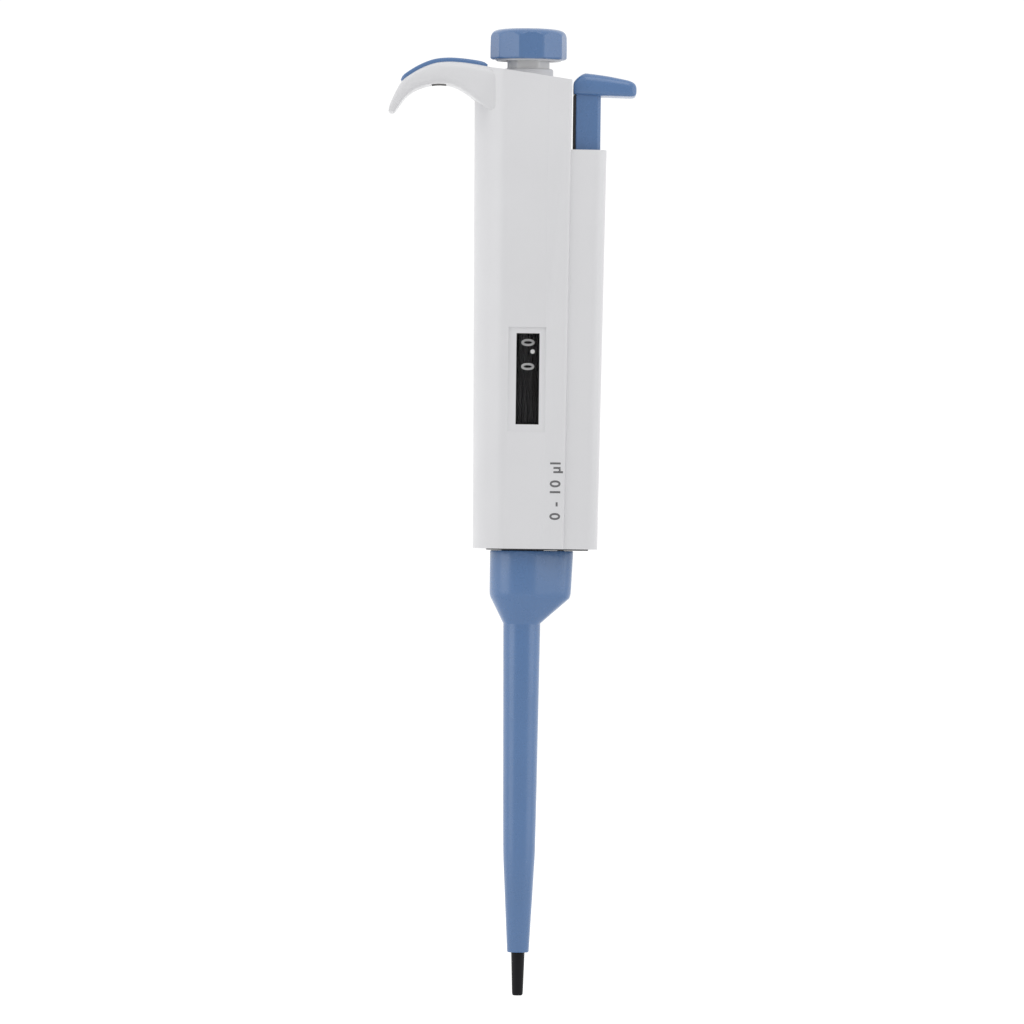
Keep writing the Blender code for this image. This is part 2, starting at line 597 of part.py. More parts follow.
def make_blowout_stop(frame):
    """The second stop: a stiff spring in the foot's tube, a washer on it and the cap that holds them in."""
    coil("blowout_spring", 4.0, 0.45, TUBE_FLOOR + GAP, 124.0, 5, STEEL, frame)
    turned("blowout_washer", [(1.8, 124.3), (4.7, 124.3), (4.7, 125.5), (1.8, 125.5)], STEEL, frame, 24)
    low, high = TUBE_TOP + GAP, TUBE_TOP + 1.8
    turned("blowout_cap", [(3.0, low), (TUBE_RADIUS, low), (TUBE_RADIUS, high), (3.0, high)], BRASS, frame, 24)


# Liquid end

def nozzle_outside():
    """Radius and height down the nozzle's outside, from its flange to its end."""
    low, high = NOZZLE_FLANGE
    return [(4.6, high), (4.6, low), (2.9, low), (2.9, 88.0), (2.5, 36.0), (1.8, 15.0),
            (1.68, SLEEVE_BOTTOM), (1.36, 0.4), (1.22, 0.0)]


def make_nozzle(frame):
    """The black tip holder: a long cone with the piston's bore, and a flange that the coupling nut holds."""
    inside = [(DUCT_RADIUS, 0.0), (DUCT_RADIUS, SEAL_SEAT - GAP), (2.05, SEAL_SEAT - GAP),
              (2.05, NOZZLE_FLANGE[1])]
    return turned("nozzle", nozzle_outside() + inside, BLACK, frame, 24)


def make_seals(frame):
    """The piston's seal, the rubber ring that presses it and the cup that the return spring stands on."""
    bore, outer = PISTON_RADIUS + FIT, 1.9
    for name, low, high, kind in (("piston_seal", SEAL_SEAT, 61.9, SEAL), ("seal_ring", 62.1, 63.6, RUBBER),
                                  ("seal_retainer", 63.9, 66.0, STEEL)):
        turned(name, [(bore, low), (outer, low), (outer, high), (bore, high)], kind, frame, 20)
    coil("piston_spring", 1.4, 0.2, SPRING_SEAT, HEAD_BOTTOM - GAP, 9, STEEL, frame, 10, 5)


def make_cone_nut(frame):
    """The nut that clamps the nozzle's flange to the stud under the handle."""
    low, thread = NOZZLE_FLANGE[0] - GAP, STUD_RADIUS + FIT
    return turned("cone_nut", [(3.1, low - 1.4), (6.2, low - 1.4), (6.2, 107.0), (thread, 107.0),
                               (thread, low), (3.1, low)], GREY, frame, 24)


def collar_radius(angle, inset, gap):
    """How far the collar reaches at that angle: round a large circle and a small one that far behind it."""
    big, small = COLLAR_RADIUS - inset, COLLAR_TAIL - inset
    tangent = math.acos((big - small) / gap)
    turn = abs(math.radians((angle + 180.0) % 360.0 - 180.0))
    tail_start = math.atan2(small * math.sin(tangent), gap + small * math.cos(tangent))
    if turn >= tangent:
        return big
    if turn >= tail_start:
        return big / math.cos(turn - tangent)
    return gap * math.cos(turn) + math.sqrt(small ** 2 - (gap * math.sin(turn)) ** 2)


def make_ejector_sleeve(frame):
    """The blue collar, funnel and tube in one moulding, which pushes the tip off the nozzle."""
    count = 32
    angles = [360.0 * k / count for k in range(count)]

    def collar(inset, lean=COLLAR_LEAN):
        return [polar(collar_radius(angle, inset, COLLAR_TAIL_X - lean), angle) for angle in angles]

    outside = [(circle(2.5, count), SLEEVE_BOTTOM), (circle(2.7, count), SLEEVE_BOTTOM + 0.3),
               (circle(3.94, count), SLEEVE_KINK), (circle(4.07, count), SLEEVE_KINK + 8.7),
               (circle(4.58, count), FUNNEL_BOTTOM), (collar(0.6), COLLAR_BOTTOM - 0.5),
               (collar(0.1), COLLAR_BOTTOM + 0.1), (collar(0.0, 0.0), COLLAR_TOP)]
    inside = [(collar(1.2, 0.0), COLLAR_TOP), (collar(1.2), COLLAR_BOTTOM + 0.3),
              (circle(3.6, count), FUNNEL_BOTTOM + 0.9),
              (circle(3.1, count), SLEEVE_KINK), (circle(1.95, count), SLEEVE_BOTTOM + 2.0),
              (circle(1.9, count), SLEEVE_BOTTOM)]
    return lofted("ejector_sleeve", stacked(outside + inside), BLUE, frame, closed=True)


# Tip ejector

def make_ejector_button(frame):
    """The blue thumb pad and its stem, which runs down into the channel."""
    outline = [(11.2, 223.2), (11.2, 226.4), (13.5, 228.4), (19.5, 227.7), (25.1, 226.4), (26.5, 225.3),
               (26.7, 224.1), (25.9, 222.7), (19.5, 222.8)]
    pad = side_prism("ejector_button", outline, 7.5, BLUE, frame, 0.8)
    front, back, half = STEM_FRONT, STEM_BACK, STEM_HALF
    levels = [(rectangle(front, back - 0.9, 0.3 - half, half - 0.3), STEM_END),
              (rectangle(front, back - 0.9, 0.3 - half, half - 0.3), 202.0),
              (rectangle(front, back, -half, half), 205.0), (rectangle(front, back, -half, half), 225.0)]
    stem = lofted("ejector_stem", stacked(levels), None, frame)
    return join(pad, stem)


def make_ejector_slide(frame):
    """The thin black slide on the stem's inner face, which runs along the column's back."""
    thin, half = 0.45, STEM_HALF - 0.4
    front = STEM_FRONT - GAP - thin
    outline = rectangle(front, front + thin, -half, half)
    return prism("ejector_slide", outline, STEM_END + 5, 222.7, BLACK, frame)


def make_ejector_rod(frame):
    """The flat steel link from the stem down the channel and through the foot to the collar."""
    low, high, thick, bend = LINK_LOW_X, LINK_HIGH_X, LINK_THICKNESS, 122.0
    foot, top = 100.5, STEM_END - GAP
    outline = [(low, foot), (low + thick, foot), (low + thick, bend), (high + thick, bend + 5),
               (high + thick, top), (high, top), (high, bend + 5), (low, bend)]
    return side_prism("ejector_rod", outline, LINK_HALF, STEEL, frame)


def make_ejector_spring(frame):
    """The spring that lifts the button, and the block in the channel that it stands on."""
    coil("ejector_spring", 1.6, 0.25, EJECT_SPRING_BOTTOM, STEM_END - GAP, 10, STEEL, frame, 10, 5,
         (EJECT_SPRING_X, 0.0))
    top = EJECT_SPRING_BOTTOM - GAP
    outline = rectangle(EJECT_SPRING_X - 1.9, EJECT_SPRING_X + 2.0, -3.0, 3.0)
    return prism("spring_seat", outline, top - 3.0, top, BLACK, frame)


def main():
    for thing in list(bpy.data.objects):
        bpy.data.objects.remove(thing, do_unlink=True)
    axis = empty("plunger_axis")
    pinion_axis = empty("pinion_axis", axis, (*polar(PINION_DISTANCE, PINION_ANGLE), 0.0))
    for make in (make_handle_body, make_window_lens, make_finger_hook, make_hook_pad, make_rear_cover,
                 make_base_plug, make_top_bush, make_nut_and_carrier, make_counter_frame, make_drive_sleeve,
                 make_friction_washer, make_volume_spindle, make_knob_stem, make_plunger_knob,
                 make_knob_insert, make_plunger_rod, make_blowout_stop, make_nozzle, make_seals,
                 make_cone_nut, make_ejector_sleeve, make_ejector_button, make_ejector_slide,
                 make_ejector_rod, make_ejector_spring):
        make(axis)
    make_counter(axis, pinion_axis)


main()
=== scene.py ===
"""Visual model of an adjustable micropipette on its CAD frame.

Lengths are in millimetres until they reach a mesh.
"""
import json
import math

import bmesh
import bpy
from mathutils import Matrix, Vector


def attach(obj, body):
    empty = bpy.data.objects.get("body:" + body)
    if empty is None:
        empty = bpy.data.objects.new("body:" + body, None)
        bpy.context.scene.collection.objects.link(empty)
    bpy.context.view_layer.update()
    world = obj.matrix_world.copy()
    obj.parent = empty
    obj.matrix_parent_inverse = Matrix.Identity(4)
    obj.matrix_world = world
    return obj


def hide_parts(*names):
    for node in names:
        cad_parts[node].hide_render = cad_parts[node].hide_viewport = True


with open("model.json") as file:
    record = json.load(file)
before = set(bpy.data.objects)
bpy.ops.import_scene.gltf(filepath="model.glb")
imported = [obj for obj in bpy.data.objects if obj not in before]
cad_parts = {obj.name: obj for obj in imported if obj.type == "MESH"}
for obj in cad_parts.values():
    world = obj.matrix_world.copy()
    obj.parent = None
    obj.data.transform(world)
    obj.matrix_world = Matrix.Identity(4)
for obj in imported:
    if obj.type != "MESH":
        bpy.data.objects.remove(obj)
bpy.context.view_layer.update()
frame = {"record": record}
MM = 0.001

# Camera: its place in metres, its lens in millimetres and its roll in degrees
CAMERA_PLACE, CAMERA_LENS, CAMERA_ROLL = (-0.00275, -2.64, 0.11975), 374.6, -0.684
FLOOR_REACH, FLOOR_Z = 4000, -60
# Handle
BOTTOM, TOP, TAPER, SLOPE = 110.7, 228.2, 0.07, 0.142
COLUMN_SIDE, COLUMN_BACK, COLUMN_WALL = 12.0, 10.9, 1.3
SIDE_BREAK, SIDE_DROP = 5.2, 0.9
SHOULDER_X, SHOULDER_RADIUS, NOSE_X, NOSE_RADIUS, NOSE_START = -4.8, 4.0, 0.06, 13.36, 121.3
WINDOW_X, WINDOW_HALF, WINDOW_LOW, WINDOW_HIGH = 0.7, 2.85, 141.4, 163.9
RECESS_X, RECESS_HALF, RECESS_LOW, RECESS_HIGH, RECESS_Y = 0.5, 4.65, 139.7, 165.4, -11.1
COVER_TOP, COVER_BACK, COVER_CORNER = 209.4, 19.8, 3.2
PANE_GAP, STEM_GAP = 0.08, 0.3
BUSH_HOLE = 6.35
# Slot in the finger hook
SLOT_FRONT, SLOT_BACK, SLOT_LOW, SLOT_HIGH, SLOT_HALF = -23.9, -20.3, 224.0, 227.4, 5.8
# Counter
BAND, TENTHS_Z, DRUM_RADIUS, DRUM_BORE = 5.9, 161.6, 8.2, 4.35
DIGIT_ANGLE, DIGIT_TALL, DIGIT_WIDE = -85.1, 3.25, 1.75
# Plunger
KNOB_LOW, KNOB_TOP, KNOB_RADIUS, KNOB_TURN, KNOB_SIDES = 231.8, 239.6, 9.55, 4.9, 10
NECK_CORNER, DRIVE_CORNER = 5.4, 3.3
# Sleeve
SLEEVE_LOW, SLEEVE_KINK, FUNNEL_LOW, COLLAR_LOW, COLLAR_HIGH = 10.7, 34.8, 91.9, 98.9, 110.25
COLLAR_RADIUS, TAIL_RADIUS, TAIL_X, COLLAR_LEAN = 8.07, 4.7, 7.85, 0.55
# Ejector's stem
STEM_FRONT, STEM_BACK, STEM_HALF = 11.9, 18.0, 6.5
STEM_END, STEM_WAIST, STEM_SHOULDER, STEM_TOP = 190.0, 202.0, 205.0, 225.0
# Printing: the label's place, and the decimal point's place and radius
LABEL_X, LABEL_Z = 8.1, 125.0
POINT_X, POINT_Z, POINT_RADIUS = 1.85, 159.4, 0.55
PRINT_LIFT = 0.03


# ---------------------------------------------------------------- camera, floor and light

def make_stage():
    """A camera level with the object's middle, a pale floor, and a white tent that is dimmer at the front."""
    camera = bpy.data.objects.new("camera", bpy.data.cameras.new("camera"))
    camera.data.lens = CAMERA_LENS
    camera.data.sensor_width = 36
    camera.location = CAMERA_PLACE
    camera.rotation_euler = (math.radians(90), math.radians(CAMERA_ROLL), 0)
    bpy.context.collection.objects.link(camera)
    bpy.context.scene.camera = camera
    bpy.context.scene.view_settings.view_transform = "Standard"

    corners = rectangle(-FLOOR_REACH, FLOOR_REACH, -FLOOR_REACH, FLOOR_REACH)
    floor = new_object("floor", [(x, y, FLOOR_Z) for x, y in corners], [(0, 1, 2, 3)])
    paint(floor, floor_material())

    world = bpy.data.worlds.new("studio")
    bpy.context.scene.world = world
    world.use_nodes = True
    tent = world.node_tree
    tent.nodes["Background"].inputs["Color"].default_value = (1, 1, 1, 1)
    place = tent.nodes.new("ShaderNodeTexCoord")
    split = tent.nodes.new("ShaderNodeSeparateXYZ")
    tent.links.new(place.outputs["Generated"], split.inputs["Vector"])
    fade = tent.nodes.new("ShaderNodeMapRange")
    fade.inputs["From Min"].default_value = -0.9
    fade.inputs["From Max"].default_value = 0.1
    fade.inputs["To Min"].default_value = 0.62
    fade.inputs["To Max"].default_value = 1.06
    tent.links.new(split.outputs["Y"], fade.inputs["Value"])
    tent.links.new(fade.outputs["Result"], tent.nodes["Background"].inputs["Strength"])
    for name, place, power, size in (("left_box", (-0.75, -0.35, 0.25), 0.9, 0.55),
                                     ("right_box", (0.75, -0.30, 0.25), 0.7, 0.55),
                                     ("top_box", (0.1, -0.45, 0.85), 1.0, 0.5)):
        light = bpy.data.objects.new(name, bpy.data.lights.new(name, "AREA"))
        light.data.energy = power
        light.data.size = size
        light.location = place
        aim = Vector((0, 0, 0.13)) - Vector(place)
        light.rotation_euler = aim.to_track_quat("-Z", "Y").to_euler()
        bpy.context.collection.objects.link(light)


# ---------------------------------------------------------------- materials

def shader_material(name, colour, roughness, metallic=0.0, **sockets):
    """A Principled material, with its constants set on the shader's own sockets."""
    made = bpy.data.materials.new(name)
    made.use_nodes = True
    shader = made.node_tree.nodes["Principled BSDF"]
    shader.inputs["Base Color"].default_value = (*colour, 1)
    shader.inputs["Roughness"].default_value = roughness
    shader.inputs["Metallic"].default_value = metallic
    for socket, value in sockets.items():
        shader.inputs[socket.replace("_", " ")].default_value = value
    made.diffuse_color = (*colour, 1)
    return made, shader


def noise(tree, size, stretch=(1, 1, 1), detail=3.0):
    """Noise whose features are about size millimetres, in the object's own space."""
    place = tree.nodes.new("ShaderNodeTexCoord")
    scale = tree.nodes.new("ShaderNodeMapping")
    scale.inputs["Scale"].default_value = stretch
    texture = tree.nodes.new("ShaderNodeTexNoise")
    texture.inputs["Scale"].default_value = 1 / (size * MM)
    texture.inputs["Detail"].default_value = detail
    tree.links.new(place.outputs["Object"], scale.inputs["Vector"])
    tree.links.new(scale.outputs["Vector"], texture.inputs["Vector"])
    return texture.outputs["Fac"]


def ranged(tree, source, low, high):
    """Maps the middle of a noise to low..high."""
    node = tree.nodes.new("ShaderNodeMapRange")
    node.inputs["From Min"].default_value = 0.3
    node.inputs["From Max"].default_value = 0.7
    node.inputs["To Min"].default_value = low
    node.inputs["To Max"].default_value = high
    tree.links.new(source, node.inputs["Value"])
    return node.outputs["Result"]


def finished(name, colour, roughness, metallic=0.0, grain=0.25, depth=0.006, spread=0.05, tint=0.04,
             stretch=(1, 1, 1), **sockets):
    """A moulded or machined surface: fine grain, uneven gloss and a faint drift of colour."""
    made, shader = shader_material(name, colour, roughness, metallic, **sockets)
    tree = made.node_tree
    bump = tree.nodes.new("ShaderNodeBump")
    bump.inputs["Strength"].default_value = 0.35
    bump.inputs["Distance"].default_value = depth * MM
    tree.links.new(noise(tree, grain, stretch), bump.inputs["Height"])
    tree.links.new(bump.outputs["Normal"], shader.inputs["Normal"])
    gloss = ranged(tree, noise(tree, grain * 14, stretch), roughness - spread, roughness + spread)
    tree.links.new(gloss, shader.inputs["Roughness"])
    mix = tree.nodes.new("ShaderNodeMix")
    mix.data_type = "RGBA"
    mix.inputs["A"].default_value = (*[c * (1 - tint) for c in colour], 1)
    mix.inputs["B"].default_value = (*[min(1.0, c * (1 + tint)) for c in colour], 1)
    tree.links.new(ranged(tree, noise(tree, 18, stretch, 1.0), 0, 1), mix.inputs["Factor"])
    tree.links.new(mix.outputs["Result"], shader.inputs["Base Color"])
    return made


def floor_material():
    """Pale grey round the object, and a white glow that rises behind it."""
    made, shader = shader_material("floor_white", (0.80, 0.80, 0.80), 0.9)
    shader.inputs["Emission Color"].default_value = (1, 1, 1, 1)
    tree = made.node_tree
    place = tree.nodes.new("ShaderNodeTexCoord")
    split = tree.nodes.new("ShaderNodeSeparateXYZ")
    glow = tree.nodes.new("ShaderNodeMapRange")
    glow.inputs["From Min"].default_value = 0.12
    glow.inputs["From Max"].default_value = 0.42
    glow.inputs["To Max"].default_value = 0.42
    tree.links.new(place.outputs["Object"], split.inputs["Vector"])
    tree.links.new(split.outputs["Y"], glow.inputs["Value"])
    tree.links.new(glow.outputs["Result"], shader.inputs["Emission Strength"])
    return made


def make_materials():
    made = {
        "white": finished("white_moulding", (0.70, 0.70, 0.715), 0.34, grain=0.3, depth=0.004, tint=0.012),
        "blue": finished("blue_moulding", (0.076, 0.170, 0.365), 0.27, grain=0.3, depth=0.0015, tint=0.03,
                         Specular_IOR_Level=0.85),
        "black": finished("black_moulding", (0.018, 0.018, 0.020), 0.42, grain=0.2, depth=0.008, tint=0.1),
        "drum": finished("counter_black", (0.008, 0.008, 0.009), 0.5, grain=0.3, depth=0.002, tint=0.1,
                         Specular_IOR_Level=0.3),
        "cone": finished("cone_black", (0.006, 0.006, 0.008), 0.4, grain=0.2, depth=0.005, tint=0.1,
                         Specular_IOR_Level=0.18),
        # painted shade: a dark grey for the walls inside the hook's slot, where shade falls
        "shade": finished("slot_painted_shade", (0.24, 0.235, 0.23), 0.6, grain=0.3, depth=0.004, tint=0.05),
        # the neck's own pale colour, raised above the white moulding as painted light to lift the shade under
        # the knob
        "neck": finished("neck_moulding_painted_light", (0.80, 0.80, 0.80), 0.36, grain=0.25, depth=0.005, tint=0.03),
        "grey": finished("grey_moulding", (0.36, 0.36, 0.37), 0.38, grain=0.25, depth=0.005, tint=0.03),
        "seal": finished("waxy_moulding", (0.78, 0.78, 0.74), 0.5, grain=0.3, depth=0.004, tint=0.03),
        "rubber": finished("moulded_rubber", (0.025, 0.025, 0.025), 0.8, grain=0.15, depth=0.01, tint=0.1),
        "steel": finished("ground_steel", (0.56, 0.56, 0.57), 0.26, 1.0, grain=0.12, depth=0.004, tint=0.04,
                          stretch=(1, 1, 14)),
        "brass": finished("turned_brass", (0.62, 0.44, 0.18), 0.3, 1.0, grain=0.12, depth=0.004, tint=0.06,
                          stretch=(1, 1, 10)),
        "digit": finished("digit_ink", (0.62, 0.62, 0.62), 0.55, grain=0.1, depth=0.002, tint=0.05),
        "point": finished("point_ink", (0.85, 0.85, 0.85), 0.5, grain=0.1, depth=0.002, tint=0.02),
        "label": finished("label_ink", (0.14, 0.14, 0.145), 0.5, grain=0.1, depth=0.002, tint=0.08),
    }
    clear, shader = shader_material("clear_pane", (1, 1, 1), 0.04, Transmission_Weight=1.0, IOR=1.15)
    tree = clear.node_tree
    tree.links.new(ranged(tree, noise(tree, 6), 0.02, 0.06), shader.inputs["Roughness"])
    made["clear"] = clear
    return made


# ---------------------------------------------------------------- mesh helpers

def new_object(name, points, faces):
    mesh = bpy.data.meshes.new(name)
    mesh.from_pydata([Vector(p) * MM for p in points], [], faces)
    shape = bmesh.new()
    shape.from_mesh(mesh)
    bmesh.ops.recalc_face_normals(shape, faces=shape.faces)
    shape.to_mesh(mesh)
    shape.free()
    made = bpy.data.objects.new(name, mesh)
    bpy.context.collection.objects.link(made)
    return made


def paint(piece, material):
    piece.data.materials.clear()
    piece.data.materials.append(material)


def lofted(name, loops, closed=False):
    """A skin through loops of equal length, with capped ends unless closed on itself."""
    count = len(loops[0])
    faces = []
    for k in range(len(loops) if closed else len(loops) - 1):
        low, high = k * count, (k + 1) % len(loops) * count
        faces += [(low + i, low + (i + 1) % count, high + (i + 1) % count, high + i) for i in range(count)]
    if not closed:
        last = (len(loops) - 1) * count
        faces += [tuple(range(count)), tuple(range(last, last + count))]
    return new_object(name, [p for loop in loops for p in loop], faces)


def prism(name, outline, low, high):
    return lofted(name, [[(x, y, z) for x, y in outline] for z in (low, high)])


def side_prism(name, outline, half):
    return lofted(name, [[(x, y, z) for x, z in outline] for y in (-half, half)])


def turned(name, profile, steps=96, closed=True):
    return lofted(name, [[(*polar(r, 360 * k / steps), z) for k in range(steps)] for r, z in profile], closed)


def polar(radius, angle):
    return radius * math.cos(math.radians(angle)), radius * math.sin(math.radians(angle))


def arc(centre, radius, start, end, count):
    turns = [start + (end - start) * i / (count - 1) for i in range(count)]
    return [(centre[0] + polar(radius, a)[0], centre[1] + polar(radius, a)[1]) for a in turns]


def mirrored(half):
    return half + [(x, -y) for x, y in reversed(half) if y > 1e-6]


def rectangle(low_x, high_x, low_y, high_y):
    return [(low_x, low_y), (high_x, low_y), (high_x, high_y), (low_x, high_y)]


def filleted(corners, radius, steps=5):
    """A closed outline whose corners are rounded; radius is one number or one for each corner."""
    outline = []
    count = len(corners)
    radii = radius if isinstance(radius, (list, tuple)) else [radius] * count
    for k, r in enumerate(radii):
        here = Vector(corners[k])
        before, after = Vector(corners[k - 1]) - here, Vector(corners[(k + 1) % count]) - here
        reach = min(r / math.tan(before.angle(after) / 2), before.length * 0.49, after.length * 0.49)
        start, end = here + before.normalized() * reach, here + after.normalized() * reach
        for i in range(steps):
            t = i / (steps - 1)
            outline.append(tuple(start * (1 - t) ** 2 + here * 2 * t * (1 - t) + end * t ** 2))
    return outline


def smoothed(points, count):
    """count points along a Catmull-Rom curve through the given ones; works on tuples of any length."""
    ends = [points[0], *points, points[-1]]
    result = []
    for i in range(count):
        at = i / (count - 1) * (len(points) - 1)
        k = min(int(at), len(points) - 2)
        t = at - k
        a, b, c, d = (ends[k + j] for j in range(4))
        result.append(tuple(0.5 * (2 * q + (r - p) * t + (2 * p - 5 * q + 4 * r - s) * t ** 2
                                   + (3 * q - p - 3 * r + s) * t ** 3) for p, q, r, s in zip(a, b, c, d)))
    return result


def combine(piece, other, operation):
    """Cuts or joins, applies the change and removes the helper."""
    change = piece.modifiers.new("shape", "BOOLEAN")
    change.operation = operation
    change.object = other
    change.solver = "EXACT"
    applied(piece)
    bpy.data.objects.remove(other, do_unlink=True)


def cut(piece, *others):
    for other in others:
        combine(piece, other, "DIFFERENCE")
    return piece


def join(piece, *others):
    for other in others:
        combine(piece, other, "UNION")
    return piece


def applied(piece):
    """Replaces the mesh by its evaluated one and drops the modifiers."""
    graph = bpy.context.evaluated_depsgraph_get()
    mesh = bpy.data.meshes.new_from_object(piece.evaluated_get(graph))
    piece.modifiers.clear()
    piece.data = mesh


def softened(piece, width, segments=3, angle=32):
    """Rounds the sharp edges by width millimetres and shades the rest smooth."""
    edges = piece.modifiers.new("edges", "BEVEL")
    edges.width = width * MM
    edges.segments = segments
    edges.limit_method = "ANGLE"
    edges.angle_limit = math.radians(angle)
    edges.use_clamp_overlap = True
    applied(piece)
    return smooth(piece, angle)


def smooth(piece, angle=35):
    piece.data.shade_smooth()
    piece.data.set_sharp_from_angle(angle=math.radians(angle))
    return piece


def finish(piece, body, material, slot, *nodes):
    """Paints a piece, makes it ride on its body and hides the CAD nodes it stands for."""
    paint(piece, MATERIALS[material])
    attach(piece, body)
    if nodes:
        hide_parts(*nodes)
    return piece


# ---------------------------------------------------------------- handle

def narrowing(z):
    return 1 - TAPER * (TOP - z) / (TOP - BOTTOM)


def column_line(inset=0.0):
    """The column's outline: a flat back, slightly splayed sides, round shoulders and a round nose."""
    side, back = COLUMN_SIDE - inset, COLUMN_BACK - inset
    corners = [(back, 0), (back, side - SIDE_DROP), (SIDE_BREAK, side), (SHOULDER_X, side)]
    corner = filleted(corners, [0.1, 0.8, 1.2, 0.1])[5:15]      # only the two middle corners
    middle = (SHOULDER_X, COLUMN_SIDE - SHOULDER_RADIUS)
    shoulder = arc(middle, SHOULDER_RADIUS - inset, 90, NOSE_START, 12)
    nose = arc((NOSE_X, 0.0), NOSE_RADIUS - inset, NOSE_START, 180, 24)
    return mirrored([*corner, *shoulder, *nose[1:]])


def scaled(outline, z, top=None):
    k = narrowing(z)
    return [(x * k, y * k, z if top is None else top - SLOPE * x * k) for x, y in outline]


def make_column():
    """The hollow white column, with its sloping top, the recessed window and the open foot."""
    body = lofted("column_shell", [scaled(column_line(), z, top) for z, top in ((BOTTOM, None), (TOP, TOP))])
    inside = lofted("inside", [scaled(column_line(COLUMN_WALL), z) for z in (BOTTOM - 1, TOP - 4)])
    bush_hole = turned("bush_hole", [(BUSH_HOLE, 220), (BUSH_HOLE, 235)], 96, False)
    frame_line = rectangle(RECESS_X - RECESS_HALF, RECESS_X + RECESS_HALF, -14, RECESS_Y)
    recess = prism("recess", filleted(frame_line, 0.1, 2), RECESS_LOW, RECESS_HIGH)
    window = prism("window", rectangle(WINDOW_X - WINDOW_HALF, WINDOW_X + WINDOW_HALF, -14, -8),
                   WINDOW_LOW, WINDOW_HIGH)
    notch = prism("notch", rectangle(7, 13, -2.3, 2.3), BOTTOM - 1, 131)
    cut(body, inside, bush_hole, recess, window, notch)
    return finish(softened(body, 0.22), "handle", "white", "white", "handle_body")


HOOK_UNDER = [(-8.0, 217.9), (-12.6, 221.2), (-14.6, 222.8), (-16.8, 224.2), (-19.0, 225.1), (-21.3, 225.4),
              (-23.6, 225.3), (-26.2, 224.7), (-28.6, 223.6), (-30.6, 221.9), (-32.2, 219.6), (-33.0, 218.5)]
HOOK_TOP = [(-7.0, 228.9), (-10.2, 229.8), (-13.4, 230.4), (-16.6, 230.8), (-19.8, 230.95), (-23.0, 230.6),
            (-26.0, 229.5), (-28.8, 227.9), (-31.2, 226.0), (-32.8, 223.3), (-34.1, 220.4), (-34.5, 218.9)]
HOOK_HALF = [10.6, 10.3, 9.7, 9.2, 8.7, 8.3, 8.0, 7.7, 7.3, 6.7, 5.8, 4.8]


def hook_lines(count):
    """Under point, top point and half width at count places along the hook."""
    return smoothed([(*u, *t, h) for u, t, h in zip(HOOK_UNDER, HOOK_TOP, HOOK_HALF)], count)


def hook_loop(place, shrink=1.0):
    """A rounded section across the hook at one place."""
    low, high = Vector((place[0], 0, place[1])), Vector((place[2], 0, place[3]))
    middle, up = (low + high) / 2, (high - low) / 2
    tall, half = up.length * shrink, place[4] * shrink
    outline = filleted(rectangle(-half, half, -tall, tall), min(2.4, tall * 0.9), 6)
    return [tuple(middle + Vector((0, a, 0)) + up.normalized() * b) for a, b in outline]


def make_hook():
    """The finger hook: a curved, thinning bar with a rounded end and a slot in its underside."""
    places = hook_lines(45)
    loops = [hook_loop(p) for p in places]
    last = places[-1]
    along = Vector((last[0] + last[2] - places[-2][0] - places[-2][2], 0,
                    last[1] + last[3] - places[-2][1] - places[-2][3])).normalized()
    for shrink, ahead in ((0.88, 0.25), (0.6, 0.5), (0.3, 0.6)):
        loops.append([tuple(Vector(p) + along * ahead) for p in hook_loop(last, shrink)])
    hook = lofted("hook_shell", loops)
    slot_line = filleted(rectangle(SLOT_FRONT, SLOT_BACK, SLOT_LOW, SLOT_HIGH), 0.2, 3)
    cut(hook, side_prism("slot", slot_line, SLOT_HALF))
    finish(smooth(hook, 40), "handle", "white", "white", "finger_hook")
    shade_slot(hook)


def shade_slot(hook):
    """Paints the slot's upright walls dark grey as painted shade inside the slot."""
    hook.data.materials.append(MATERIALS["shade"])
    for face in hook.data.polygons:
        x, y, z = face.center / MM
        inside = SLOT_FRONT - 0.1 < x < SLOT_BACK + 0.1 and abs(y) < SLOT_HALF + 0.1 and z < SLOT_HIGH + 0.2
        if inside and abs(face.normal.z) < 0.9:
            face.material_index = 1


def make_inlay():
    """The blue grip along the hook's top, a thin pillow with rounded edges."""
    places = hook_lines(45)[4:33]
    loops = []
    for k, place in enumerate(places):
        behind, ahead = places[max(k - 1, 0)], places[min(k + 1, len(places) - 1)]
        outward = Vector((ahead[3] - behind[3], 0, behind[2] - ahead[2])).normalized()
        reach = min(k, len(places) - 1 - k)
        swell = math.sqrt(1 - max(0.0, 1 - (reach + 0.4) / 3) ** 2)
        base = Vector((place[2], 0, place[3])) - outward * 0.5
        half = (place[4] - 1.6) * (0.86 + 0.14 * swell)
        rise = 0.5 + 0.95 * swell
        outline = filleted([(-half, 0), (half, 0), (half, rise), (-half, rise)], [0.05, 0.05, 0.7, 0.7], 5)
        loops.append([tuple(base + Vector((0, a, 0)) + outward * b) for a, b in outline])
    return finish(smooth(lofted("hook_inlay", loops), 50), "handle", "blue", "blue", "hook_pad")


def cover_line(inset=0.0):
    """Half of the channel's outline, from the column's side round to the middle of its back."""
    corner = arc((COVER_BACK - COVER_CORNER, 6.9), COVER_CORNER - inset, 84, 0, 14)
    return [(COLUMN_BACK - 0.5, 10.55 - inset), (14.5, 10.35 - inset), *corner]


